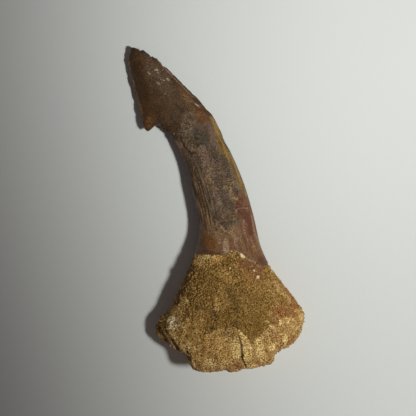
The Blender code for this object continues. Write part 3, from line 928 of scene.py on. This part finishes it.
def pick_places(clay, density, grains, random):
    """Scatters places over the root, more of them where the density is high, none on top of another."""
    tries = random.choice(len(density), size=grains.count * 3, replace=False, p=density / density.sum())
    taken, places = set(), []
    reach = grains.smallest * 1.15
    for index in tries:
        key = tuple((clay.points[index] // reach).astype(int))
        if key not in taken:
            taken.add(key)
            places.append(index)
    return places[: grains.count]


def turned(random):
    """A random rotation as a matrix."""
    axes, _ = np.linalg.qr(random.normal(size=(3, 3)))
    return axes * np.sign(np.linalg.det(axes))


def make_sand(clay, crown, bare, masks, grains):
    """Thousands of angular grains, half sunk in the root, joined in one mesh."""
    random = np.random.default_rng(grains.seed)
    shapes = [grain_shape(random) for _ in range(GRAIN_SHAPES)]
    sandy = (1 - crown) * (1 - 0.92 * bare) * (0.5 + 0.5 * fade(-0.35, 0.3, clay.lumps(2.2, 91, 2)))
    for name, share in KEPT_OFF:
        sandy *= 1 - share * masks[name]
    sandy *= fade(-0.35, -0.7, clay.edge_gap(CROWN_EDGE))
    points, faces, tones, near, done = [], [], [], [], 0
    for index in pick_places(clay, sandy, grains, random):
        shape, triangles = shapes[random.integers(len(shapes))]
        size = grains.smallest + (grains.largest - grains.smallest) * random.beta(1.6, 2.6)
        centre = clay.points[index] + clay.normals[index] * size * random.uniform(-0.12, 0.16)
        grain = shape @ turned(random).T * size + centre
        if (grain < LOWEST).any() or (grain > HIGHEST).any():
            continue
        points.append(grain)
        faces.append(triangles + done)
        tones.append(np.full(len(grain), random.uniform()))
        near.append(np.full(len(grain), index))
        done += len(grain)
    mesh = bpy.data.meshes.new("cemented_sand")
    mesh.from_pydata(np.vstack(points).tolist(), [], np.vstack(faces).tolist())
    sand = new_object("cemented_sand", mesh)
    save_mask(sand, "tone", np.concatenate(tones))
    return sand, np.concatenate(near)


# ---------------------------------------------------------------------------------------------------------
# Materials
# ---------------------------------------------------------------------------------------------------------

# The stains in the order that they are laid: the mask's name, which is also the colour's, the size of the
# patches that break it up in mm, how much they do and how soft its edge is.
CROWN_LAYERS = (
    ("bloom", 0.4, 0.6, 0.5), ("tan", 0.4, 0.6, 0.5), ("russet", 0.4, 0.6, 0.5), ("pink", 0.35, 0.5, 0.5),
    ("amber", 0.35, 0.6, 0.5), ("burgundy", 0.3, 0.6, 0.5), ("pale", 0.3, 0.7, 0.5), ("gold", 0.3, 0.6, 0.5),
    ("grey", 0.35, 1.0, 0.5), ("crust", 0.28, 1.0, 0.5), ("ochre", 0.28, 0.7, 0.45),
    ("dark", 0.28, 0.6, 0.45),
)
# Laid last on the crown: pale specks and chips, and a painted glint along the lip from both stains.
CROWN_SPECKS = (("speck", 0.2, 0.5, 0.45), ("white_and_glint", 0.2, 0.2, 0.4))
ROOT_LAYERS = (
    ("yellow", 0.45, 0.7, 0.4), ("rust", 0.5, 0.8, 0.4), ("bright", 0.35, 0.9, 0.35),
    ("shade", 0.35, 0.6, 0.4),
)
# On the root: a white mineral patch, and painted highlights by the crown's edge.
ROOT_SPECKS = (("white_and_glint", 0.25, 0.25, 0.35),)
SAND_LAYERS = (("yellow", 0.4, 0.8, 0.5), ("rust", 0.4, 0.8, 0.5), ("shade", 0.4, 0.8, 0.45))
OLIVE_ON_ROOT = (("olive", 0.6, 0.5, 0.45),)
OLIVE_ON_SAND = (("olive", 0.4, 0.8, 0.5),)

# How deep the fine bumps of the enamel, the bone and the sand are, in metres.
ENAMEL_BUMP = 0.00007
BONE_BUMP = 0.00012
SAND_BUMP = 0.00005

MID_GREY = (0.5, 0.5, 0.5, 1.0)
PAINTED_SHADE_COLOUR = (0.05, 0.03, 0.01, 1.0)


class Nodes:
    """Adds nodes to a tree from left to right and links them by their sockets' names."""

    def __init__(self, tree):
        self.tree = tree
        self.count = 0

    def add(self, kind, inputs=None, **settings):
        node = self.tree.nodes.new(kind)
        node.location = (self.count % 12 * 190, self.count // 12 * -330)
        self.count += 1
        for name, value in settings.items():
            setattr(node, name, value)
        for name, value in (inputs or {}).items():
            self.feed(node.inputs[name], value)
        return node

    def feed(self, socket, value):
        """Links a socket to another or sets its value. A colour from the settings is made opaque."""
        if isinstance(value, bpy.types.NodeSocket):
            self.tree.links.new(value, socket)
        else:
            socket.default_value = (*value, 1.0) if socket.type == "RGBA" else value

    def math(self, operation, *values):
        node = self.add("ShaderNodeMath", operation=operation)
        for socket, value in zip(node.inputs, values):
            self.feed(socket, value)
        return node.outputs[0]

    def times(self, first, second):
        return self.math("MULTIPLY", first, second)

    def vector_math(self, operation, inputs):
        return self.add("ShaderNodeVectorMath", inputs, operation=operation).outputs[0]

    def combine(self, x, y, z=0.0):
        return self.add("ShaderNodeCombineXYZ", {"X": x, "Y": y, "Z": z}).outputs[0]

    def mix(self, factor, first, second):
        """A colour between two others."""
        node = self.add("ShaderNodeMix", data_type="RGBA")
        for place, value in ((0, factor), (6, first), (7, second)):
            self.feed(node.inputs[place], value)
        return node.outputs[2]

    def blend(self, factor, first, second):
        """A number between two others."""
        node = self.add("ShaderNodeMix", data_type="FLOAT")
        for place, value in ((0, factor), (2, first), (3, second)):
            self.feed(node.inputs[place], value)
        return node.outputs[0]

    def ramp(self, value, low, high):
        """0 at low and 1 at high, with a smooth step between."""
        inputs = {"Value": value, "From Min": low, "From Max": high}
        return self.add("ShaderNodeMapRange", inputs, interpolation_type="SMOOTHSTEP").outputs["Result"]

    def attribute(self, name):
        return self.add("ShaderNodeAttribute", attribute_name=name).outputs["Fac"]

    def place(self):
        """Object coordinates in millimetres."""
        coordinates = self.add("ShaderNodeTexCoord").outputs["Object"]
        return self.vector_math("MULTIPLY", {0: coordinates, 1: (1 / MM,) * 3})

    def cloud(self, vector, size, detail=2.0, roughness=0.6):
        """Noise from 0 to 1 with clouds this many millimetres across."""
        scale = self.math("DIVIDE", 1.0, size) if isinstance(size, bpy.types.NodeSocket) else 1 / size
        inputs = {"Vector": vector, "Scale": scale, "Detail": detail, "Roughness": roughness}
        return self.add("ShaderNodeTexNoise", inputs).outputs["Fac"]

    def group(self, name, **values):
        """Places a node group and feeds its inputs: patch_size is the value of its input Patch size."""
        node = self.add("ShaderNodeGroup", node_tree=bpy.data.node_groups[name])
        for label, value in values.items():
            self.feed(node.inputs[label.capitalize().replace("_", " ")], value)
        return node.outputs

    def stain(self, colour, stain, mask, size, break_up, softness):
        edge = {"patch_size": size, "break_up": break_up, "softness": softness}
        return self.group("stain", colour=colour, stain=stain, mask=mask, **edge)

    def stains(self, colour, colours, layers):
        """Lays stains one over another, each with its own mask and colour."""
        for name, *values in layers:
            colour = self.stain(colour, getattr(colours, name), self.attribute(name), *values)["Colour"]
        return colour

    def flecks(self, place, size, low, high, share):
        """A share of the places where fine noise lies past low and towards high."""
        return self.times(self.ramp(self.cloud(place, size, 2.0, 0.5), low, high), share)


def new_group(name, inputs, outputs):
    """An empty shader node group with these sockets, its nodes, and its given and its wanted values."""
    group = bpy.data.node_groups.new(name, "ShaderNodeTree")
    for label, default in inputs:
        kind = "NodeSocketColor" if isinstance(default, tuple) else "NodeSocketFloat"
        group.interface.new_socket(label, in_out="INPUT", socket_type=kind).default_value = default
    for label in outputs:
        kind = "NodeSocketColor" if label == "Colour" else "NodeSocketFloat"
        group.interface.new_socket(label, in_out="OUTPUT", socket_type=kind)
    nodes = Nodes(group)
    return nodes, nodes.add("NodeGroupInput").outputs, nodes.add("NodeGroupOutput").inputs


def stain_group():
    """Lays one stain over a colour. Noise breaks up its edge, so that it looks soaked in and worn."""
    inputs = (
        ("Colour", MID_GREY), ("Stain", MID_GREY), ("Mask", 0.0), ("Patch size", 0.5), ("Break up", 0.8),
        ("Softness", 0.2),
    )
    nodes, given, out = new_group("stain", inputs, ("Colour", "Mask"))
    cloud = nodes.cloud(nodes.place(), given["Patch size"], 3.0, 0.65)
    shifted = nodes.math("MULTIPLY_ADD", nodes.math("SUBTRACT", cloud, 0.5), given["Break up"], given["Mask"])
    low = nodes.math("SUBTRACT", 0.5, given["Softness"])
    high = nodes.math("ADD", 0.5, given["Softness"])
    mask = nodes.ramp(shifted, low, high)
    nodes.feed(out["Colour"], nodes.mix(mask, given["Colour"], given["Stain"]))
    nodes.feed(out["Mask"], mask)


def speckle_group():
    """Lightens and darkens a colour in small uneven flecks, the dark ones warmer, and gives their height."""
    inputs = (("Colour", MID_GREY), ("Size", 0.3), ("Amount", 0.3), ("Warmth", 1.25))
    nodes, given, out = new_group("speckle", inputs, ("Colour", "Height"))
    place = nodes.place()
    fine = nodes.cloud(place, given["Size"], 1.0, 0.5)
    broad = nodes.cloud(place, nodes.times(given["Size"], 3.7), 2.0, 0.5)
    value = nodes.math("ADD", nodes.times(fine, 0.85), nodes.times(broad, 0.15))
    centred = nodes.times(nodes.math("SUBTRACT", value, 0.5), 4.0)
    uneven = nodes.ramp(nodes.cloud(place, nodes.times(given["Size"], 7.0), 2.0, 0.6), 0.38, 0.62)
    amount = nodes.times(given["Amount"], nodes.math("MULTIPLY_ADD", uneven, 0.9, 0.6))
    green = nodes.math("SMOOTH_MIN", nodes.times(centred, amount), 0.9, 0.8)
    blue = nodes.math("MINIMUM", nodes.times(green, given["Warmth"]), nodes.math("ADD", green, 0.35))
    powers = (nodes.times(green, 0.75), green, blue)
    factors = nodes.combine(*(nodes.math("POWER", 2.0, power) for power in powers))
    nodes.feed(out["Colour"], nodes.vector_math("MULTIPLY", {0: given["Colour"], 1: factors}))
    nodes.feed(out["Height"], value)


def hollow_group():
    """Paints shade into a colour where the relief is low, and paints light on it where it stands proud."""
    inputs = (
        ("Colour", MID_GREY), ("Relief", 0.0), ("Depth", 0.2), ("Dirt", PAINTED_SHADE_COLOUR), ("Proud", 0.3),
        ("Strength", 0.6),
    )
    nodes, given, out = new_group("hollow", inputs, ("Colour",))
    sunk = nodes.ramp(nodes.times(given["Relief"], -1.0), 0.0, given["Depth"])
    proud = nodes.ramp(given["Relief"], 0.0, given["Depth"])
    lifted = nodes.math("MULTIPLY_ADD", proud, given["Proud"], 1.0)
    lighter = nodes.vector_math("SCALE", {0: given["Colour"], "Scale": lifted})
    nodes.feed(out["Colour"], nodes.mix(nodes.times(sunk, given["Strength"]), lighter, given["Dirt"]))


def start_material(name):
    material = bpy.data.materials.new(name)
    material.use_nodes = True
    shader = material.node_tree.nodes["Principled BSDF"]
    shader.location = (2500, 0)
    material.node_tree.nodes["Material Output"].location = (2800, 0)
    return material, Nodes(material.node_tree), shader


def finish_surface(nodes, shader, colour, roughness, height, depth, strength):
    """Feeds the colour, the roughness and the fine bumps, this many metres deep, to the shader."""
    bump = nodes.add("ShaderNodeBump", {"Height": height, "Distance": depth, "Strength": strength})
    nodes.feed(shader.inputs["Base Color"], colour)
    nodes.feed(shader.inputs["Roughness"], roughness)
    nodes.feed(shader.inputs["Normal"], bump.outputs["Normal"])


def crown_material(colours):
    """Satin brown enamel: cloudy, streaked along the shaft, stained and worn to grey in patches, with painted
    shade, light and glints.
    """
    material, nodes, shader = start_material("crown_enamel")
    place = nodes.place()
    across, along, worn = (nodes.attribute(name) for name in ("across", "along", "worn"))
    streaks = nodes.cloud(nodes.combine(across, nodes.times(along, 0.12)), 0.35, 3.0, 0.6)
    clouds = nodes.cloud(place, 1.6, 4.0, 0.6)
    mottle = nodes.ramp(nodes.blend(0.45, clouds, streaks), 0.36, 0.64)
    colour = nodes.stains(nodes.mix(mottle, colours.enamel, colours.enamel_light), colours, CROWN_LAYERS)
    pale_flecks = nodes.flecks(place, 0.26, 0.54, 0.7, worn)
    dark_flecks = nodes.flecks(place, 0.29, 0.45, 0.32, worn)
    colour = nodes.mix(nodes.times(pale_flecks, 0.3), colour, colours.crust)
    colour = nodes.mix(nodes.times(dark_flecks, 0.65), colour, colours.dark)
    colour = nodes.stains(colour, colours, CROWN_SPECKS)
    grain = nodes.group("speckle", colour=colour, size=0.2, amount=nodes.blend(worn, 1.1, 1.7), warmth=1.6)

    strands = nodes.cloud(nodes.combine(across, nodes.times(along, 0.06)), 0.24, 0.0, 0.5)
    lined = nodes.math("MAXIMUM", nodes.attribute("grooved"), nodes.times(nodes.attribute("gold"), 0.6))
    furrows = nodes.times(nodes.ramp(strands, 0.5, 0.36), lined)
    ridges = nodes.times(nodes.ramp(strands, 0.5, 0.66), lined)
    colour = nodes.mix(nodes.times(ridges, 0.45), grain["Colour"], colours.pale)
    colour = nodes.mix(nodes.times(furrows, 0.75), colour, colours.dark)
    relief = nodes.attribute("relief")
    # Painted shade in the grooves, pits and chip, and painted light on the raised relief and the lip.
    hollows = nodes.group(
        "hollow", colour=colour, relief=relief, depth=0.1, dirt=colours.shade, proud=0.15, strength=0.7
    )

    roughness = nodes.blend(worn, nodes.math("MULTIPLY_ADD", clouds, 0.3, 0.4), 0.8)
    roughness = nodes.blend(nodes.attribute("lip"), roughness, 0.15)
    fine = nodes.cloud(place, 0.12, 2.0, 0.6)
    height = nodes.math("ADD", nodes.times(fine, 0.4), nodes.times(streaks, 0.6))
    height = nodes.math("ADD", height, nodes.times(grain["Height"], nodes.blend(worn, 0.4, 1.8)))
    finish_surface(nodes, shader, hollows["Colour"], roughness, height, ENAMEL_BUMP, 0.6)
    shader.inputs["Specular IOR Level"].default_value = 0.35
    return material


def root_material(colours):
    """Porous bone with sand in its pores: gritty ochre over the root, bare and paler at the rim, with painted
    shade between grains and in hollows.
    """
    material, nodes, shader = start_material("root_bone")
    place = nodes.place()
    # Cells of sand, each of its own tone and darker towards its edge: painted shade between the grains.
    grit = nodes.add("ShaderNodeTexVoronoi", {"Vector": place, "Scale": 3.0, "Randomness": 1.0})
    cell = nodes.add("ShaderNodeSeparateColor", {"Color": grit.outputs["Color"]}).outputs["Red"]
    gap = nodes.ramp(grit.outputs["Distance"], 0.25, 0.7)
    tone = nodes.times(nodes.math("SUBTRACT", 1.0, gap), nodes.math("MULTIPLY_ADD", cell, 0.6, 0.4))
    colour = nodes.stains(nodes.mix(tone, colours.sand_dark, colours.sand), colours, OLIVE_ON_ROOT)

    blotches = nodes.cloud(place, 0.9, 3.0, 0.65)
    fan = nodes.combine(nodes.attribute("fan"), nodes.attribute("fan_out"))
    fibres = nodes.cloud(fan, 0.42, 3.0, 0.65)
    cream = nodes.ramp(nodes.blend(0.5, blotches, fibres), 0.48, 0.68)
    bone = nodes.mix(cream, colours.bone, colours.bright)
    rusty = nodes.ramp(nodes.cloud(place, 1.3, 4.0, 0.7), 0.5, 0.66)
    bone = nodes.mix(nodes.times(rusty, 0.8), bone, colours.rust)
    bare = nodes.attribute("bare")
    colour = nodes.stain(colour, bone, bare, 0.6, 0.7, 0.3)["Colour"]
    colour = nodes.stains(colour, colours, ROOT_LAYERS)
    resin = nodes.stain(colour, colours.resin, nodes.attribute("resin"), 0.5, 0.7, 0.35)
    colour = nodes.stains(resin["Colour"], colours, ROOT_SPECKS)
    amount = nodes.blend(nodes.math("MAXIMUM", resin["Mask"], nodes.attribute("smooth")), 2.9, 1.0)
    grain = nodes.group("speckle", colour=colour, size=0.2, amount=amount, warmth=2.8)
    colour, relief = grain["Colour"], nodes.attribute("relief")
    # Painted shade in the pores and the split, and painted light on the lumps.
    hollows = nodes.group(
        "hollow", colour=colour, relief=relief, depth=0.16, dirt=colours.shade, proud=0.3, strength=0.7
    )

    roughness = nodes.blend(resin["Mask"], 0.85, 0.25)
    height = nodes.math("ADD", grain["Height"], nodes.times(tone, 0.6))
    height = nodes.math("ADD", height, nodes.times(fibres, nodes.times(bare, 1.5)))
    finish_surface(nodes, shader, hollows["Colour"], roughness, height, BONE_BUMP, 0.7)
    shader.inputs["Specular IOR Level"].default_value = 0.25
    return material


def sand_material(colours):
    """Cemented grains, from dark matrix through ochre to a few pale quartz ones."""
    material, nodes, shader = start_material("sand_grains")
    tone = nodes.attribute("tone")
    colour = nodes.mix(nodes.ramp(tone, 0.0, 0.5), colours.olive, colours.sand)
    colour = nodes.mix(nodes.ramp(tone, 0.6, 0.95), colour, colours.yellow)
    colour = nodes.mix(nodes.ramp(tone, 0.96, 1.0), colour, colours.bright)
    colour = nodes.stains(colour, colours, OLIVE_ON_SAND)
    colour = nodes.stain(colour, colours.bone, nodes.attribute("bare"), 0.4, 0.8, 0.4)["Colour"]
    colour = nodes.stains(colour, colours, SAND_LAYERS)
    grain = nodes.group("speckle", colour=colour, size=0.18, amount=1.5, warmth=2.6)
    roughness = nodes.blend(nodes.ramp(tone, 0.8, 1.0), 0.75, 0.4)
    finish_surface(nodes, shader, grain["Colour"], roughness, grain["Height"], SAND_BUMP, 0.5)
    return material


def table_material(studio):
    """Pale paper, a little uneven."""
    material, nodes, shader = start_material("pale_paper")
    fibres = nodes.cloud(nodes.place(), 0.9, 3.0, 0.6)
    tint = nodes.math("MULTIPLY_ADD", fibres, 0.03, 0.985)
    paper = nodes.vector_math("SCALE", {0: tuple(studio.table), "Scale": tint})
    nodes.feed(shader.inputs["Base Color"], paper)
    shader.inputs["Roughness"].default_value = 0.9
    shader.inputs["Specular IOR Level"].default_value = 0.2
    return material


# ---------------------------------------------------------------------------------------------------------
# Operators
# ---------------------------------------------------------------------------------------------------------

# The lamps stand at one place: one lights the whole table, the other adds a brighter middle. Each has a name,
# a power, the width of its cone in degrees, the softness of the cone's rim and the place it points at.
LAMP_PLACE = (0.214, -0.056, 0.399)
LAMP_RADIUS = 0.03
LAMPS = (
    ("lamp", 5.5, 62.2, 0.34, (0.2, 0.0097, 0.0)),
    ("middle_lamp", 1.94, 16.9, 0.84, (0.017, 0.0387, 0.0)),
)
ROOM_COLOUR = (1.0, 0.875, 0.87, 1.0)

TABLE_SIZE = 2.0

# The camera's place over the table and the height that its field is measured at, in metres, and the width of
# its sensor, in millimetres.
CAMERA_X, CAMERA_Y = -0.0014, 0.00025
FIELD_HEIGHT = 0.005
NEAREST_VIEW = 0.01
SENSOR_WIDTH = 36.0

# What the tooth's operator leaves for the sand's: the root's clay and masks.
made = {}


class FOSSIL_OT_tooth(bpy.types.Operator):
    """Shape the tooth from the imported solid, carve its surface and stain it"""

    bl_idname = "fossil.tooth"
    bl_label = "Tooth"

    def execute(self, context):
        stain_group()
        speckle_group()
        hollow_group()
        colours = context.scene.fossil_colours
        tooth, clay, crown, bare, masks = make_tooth(context.scene.fossil_shape)
        made["root"] = (clay, crown, bare, masks)
        tooth.data.materials.clear()
        tooth.data.materials.append(crown_material(colours))
        tooth.data.materials.append(root_material(colours))
        for face in tooth.data.polygons:
            face.material_index = int(crown[face.vertices[0]] < 0.5)
        settle(tooth)
        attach(tooth, "root")
        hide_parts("tooth")
        return {"FINISHED"}


class FOSSIL_OT_sand(bpy.types.Operator):
    """Lay the cemented sand on the tooth's root"""

    bl_idname = "fossil.sand"
    bl_label = "Sand"

    def execute(self, context):
        clay, crown, bare, masks = made["root"]
        sand, near = make_sand(clay, crown, bare, masks, context.scene.fossil_sand)
        save_mask(sand, "bare", bare[near])
        for name in ("olive", "yellow", "rust", "shade"):
            save_mask(sand, name, masks[name][near])
        sand.data.materials.append(sand_material(context.scene.fossil_colours))
        settle(sand)
        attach(sand, "root")
        return {"FINISHED"}


class FOSSIL_OT_studio(bpy.types.Operator):
    """Set up the pale table, the soft lamps and the camera that looks straight down"""

    bl_idname = "fossil.studio"
    bl_label = "Studio"

    def execute(self, context):
        scene = context.scene
        studio = scene.fossil_studio
        bpy.ops.object.select_all(action="DESELECT")
        bpy.ops.mesh.primitive_plane_add(size=TABLE_SIZE)
        table = context.object
        table.name = "table_top"
        table.data.materials.append(table_material(studio))

        for name, power, spread, blend, aim in LAMPS:
            lamp = new_object(name, bpy.data.lights.new(name, "SPOT"))
            lamp.data.energy = power * studio.lamp_power
            lamp.data.color = studio.lamp_tint
            lamp.data.shadow_soft_size = LAMP_RADIUS
            lamp.data.spot_size = math.radians(spread)
            lamp.data.spot_blend = blend
            lamp.location = LAMP_PLACE
            lamp.rotation_euler = (Vector(aim) - lamp.location).to_track_quat("-Z", "Y").to_euler()

        world = bpy.data.worlds.new("room")
        world.use_nodes = True
        background = world.node_tree.nodes["Background"]
        background.inputs["Color"].default_value = ROOM_COLOUR
        background.inputs["Strength"].default_value = studio.room_light
        scene.world = world

        camera = new_object("camera", bpy.data.cameras.new("camera"))
        camera.location = (CAMERA_X, CAMERA_Y, studio.camera_height)
        camera.data.sensor_width = SENSOR_WIDTH
        camera.data.lens = SENSOR_WIDTH * (studio.camera_height - FIELD_HEIGHT) / studio.field_width
        camera.data.clip_start = NEAREST_VIEW
        scene.camera = camera
        scene.view_settings.view_transform = "Standard"
        return {"FINISHED"}


class FOSSIL_PT_panel(bpy.types.Panel):
    """Lists the steps and the settings in the sidebar"""

    bl_label = "Fossil tooth"
    bl_idname = "FOSSIL_PT_panel"
    bl_space_type = "VIEW_3D"
    bl_region_type = "UI"
    bl_category = "Fossil"

    def draw(self, context):
        for step in STEPS:
            self.layout.operator(step.bl_idname)
        for name in SETTINGS:
            settings = getattr(context.scene, name)
            for field in settings.__annotations__:
                self.layout.prop(settings, field)


STEPS = (FOSSIL_OT_tooth, FOSSIL_OT_sand, FOSSIL_OT_studio)
SETTINGS = {
    "fossil_shape": ToothShape,
    "fossil_sand": SandGrains,
    "fossil_colours": FossilColours,
    "fossil_studio": Studio,
}


def register():
    for item in (*SETTINGS.values(), *STEPS, FOSSIL_PT_panel):
        bpy.utils.register_class(item)
    for name, group in SETTINGS.items():
        setattr(bpy.types.Scene, name, PointerProperty(type=group))


def unregister():
    for name in SETTINGS:
        delattr(bpy.types.Scene, name)
    for item in (FOSSIL_PT_panel, *STEPS, *SETTINGS.values()):
        bpy.utils.unregister_class(item)


def main():
    register()
    bpy.ops.fossil.tooth()
    bpy.ops.fossil.sand()
    bpy.ops.fossil.studio()


if __name__ == "__main__":
    main()
